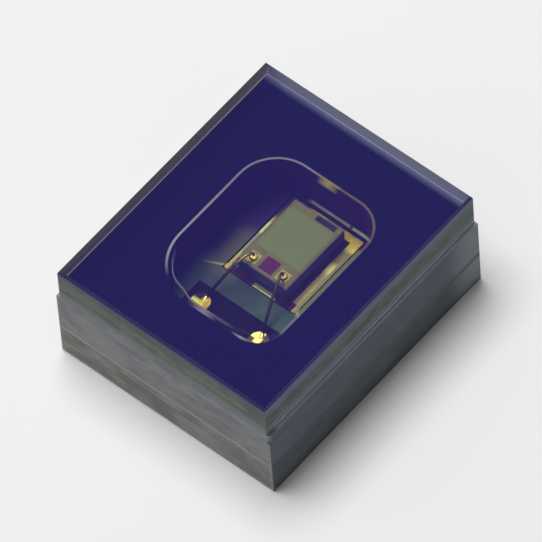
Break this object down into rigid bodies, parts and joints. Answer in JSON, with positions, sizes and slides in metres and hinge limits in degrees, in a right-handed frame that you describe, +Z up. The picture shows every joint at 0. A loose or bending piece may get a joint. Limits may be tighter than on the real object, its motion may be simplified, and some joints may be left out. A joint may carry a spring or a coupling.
{
  "type": "silicon photomultiplier",
  "caption": "Light-sensor chip with gold bond wires in a rectangular laminate cavity package, sealed under a blue-coated glass lid, with solder lands underneath.",
  "frame": {"origin": "middle of the solder plane, at the foot of the part", "axes": "+Z up through the glass lid, +Y along the longer side away from the bond wires, +X to the right"},
  "size_m": [0.002, 0.0024, 0.0011],
  "materials": {
    "laminate": "sawn glass-cloth laminate, matt, fine level saw streaks",
    "solder_mask": "thin green solder mask, glossy",
    "gold_plate": "gold-plated copper, bright",
    "via_copper": "plated copper fill",
    "bond_resin": "cured bond film, satin",
    "die_adhesive": "cured die adhesive, satin",
    "silicon": "sawn silicon, mirror-bright dark sides",
    "die_passivation": "oxide over aluminium wiring, glossy",
    "microcells": "fine grid of microcells, glossy",
    "die_metal": "bright pad metal",
    "dark_film": "dark violet interference film, glossy",
    "gold_wire": "drawn gold wire, bright",
    "lid_adhesive": "clear-edged glue that reads dark indigo through the lid",
    "coated_glass": "polished faces with a blue filter coating, ground edges"
  },
  "bodies": {
    "root": {"base_core": "laminate", "cavity_frame": "laminate", "bottom_mask": "solder_mask", "floor_mask": "solder_mask", "land_front_left": "gold_plate", "land_front_right": "gold_plate", "land_rear_left": "gold_plate", "land_rear_right": "gold_plate", "via_front_left": "via_copper", "via_front_right": "via_copper", "via_rear_left": "via_copper", "via_rear_right": "via_copper", "die_pad": "gold_plate", "bond_finger_left": "gold_plate", "bond_finger_right": "gold_plate", "frame_bond_film": "bond_resin", "die_attach": "die_adhesive", "sensor_die": "silicon", "die_stack": "die_passivation", "microcell_field": "microcells", "bond_pad_left": "die_metal", "bond_pad_right": "die_metal", "reference_cell": "dark_film", "guard_bar": "dark_film", "bond_wire_left": "gold_wire", "bond_wire_right": "gold_wire", "lid_glue": "lid_adhesive", "lid_glass": "coated_glass"}
  },
  "joints": []
}
